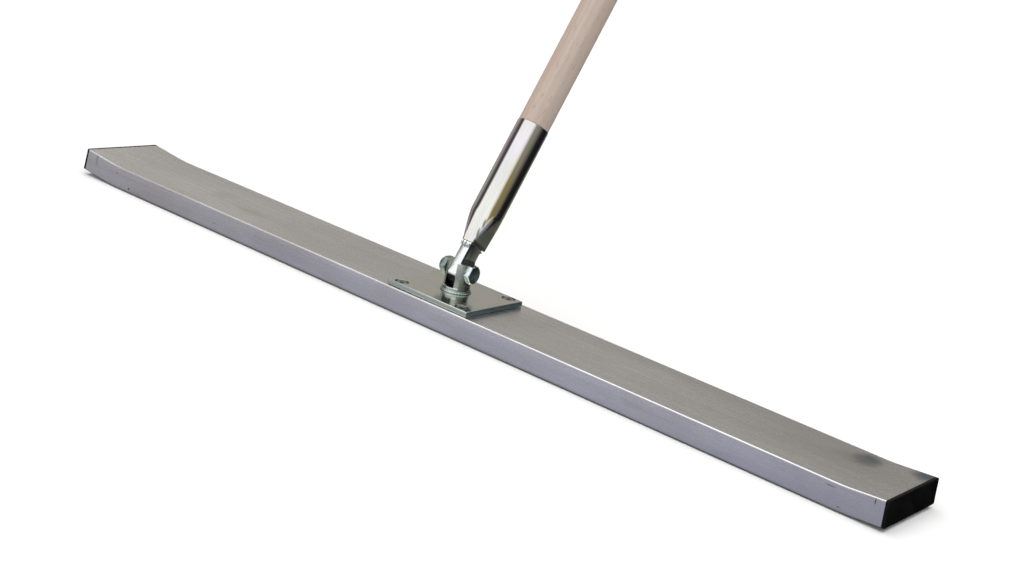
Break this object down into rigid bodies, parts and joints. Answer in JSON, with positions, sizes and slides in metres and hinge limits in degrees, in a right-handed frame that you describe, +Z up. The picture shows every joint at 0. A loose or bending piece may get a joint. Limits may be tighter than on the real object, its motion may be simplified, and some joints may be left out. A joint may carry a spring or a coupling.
{
  "type": "bull float",
  "caption": "Concrete bull float: a hollow metal blade with both ends turned up, a bolted bracket with a tilting fork joint, and a long wooden handle set in a pressed tube socket.",
  "frame": {"origin": "the middle of the blade's sole, midway between its ends and its long edges", "axes": "+X along the blade, +Y the side that the handle leans to, +Z up"},
  "size_m": [1, 0.793, 1.4409],
  "materials": {
    "mill_aluminium": "extruded aluminium, fine lengthwise lines, stained and nicked by use",
    "black_plastic": "moulded, satin",
    "zinc_plate": "zinc plated, satin with a yellow and blue tint",
    "zinc_fork": "zinc plated, blue passivated",
    "zinc_fastener": "zinc plated, bright",
    "plated_weld": "weld bead under zinc plating",
    "bright_zinc_tube": "bright zinc with a faint rainbow tint",
    "beech_wood": "turned beech, planed smooth, unvarnished"
  },
  "bodies": {
    "float": {"float_profile": "mill_aluminium", "end_cap_left": "black_plastic", "end_cap_right": "black_plastic", "bracket_plate": "zinc_plate", "plate_screw_1": "zinc_fastener", "plate_screw_2": "zinc_fastener", "plate_screw_3": "zinc_fastener", "plate_screw_4": "zinc_fastener", "rivet_nut_1": "zinc_fastener", "rivet_nut_2": "zinc_fastener", "rivet_nut_3": "zinc_fastener", "rivet_nut_4": "zinc_fastener", "fork": "zinc_fork", "fork_weld": "plated_weld", "pivot_bolt": "zinc_fastener", "lock_nut": "zinc_fastener"},
    "handle_side": {"tongue": "zinc_fork", "handle_socket": "bright_zinc_tube", "socket_weld_front": "plated_weld", "socket_weld_back": "plated_weld", "handle": "beech_wood", "handle_screw": "zinc_fastener"}
  },
  "joints": [
    {"name": "tilt_pivot", "type": "hinge", "parent": "float", "child": "handle_side", "pos_m": [0, 0, 0.0503], "axis": [1, 0, 0], "range_deg": [-57, 113]}
  ]
}
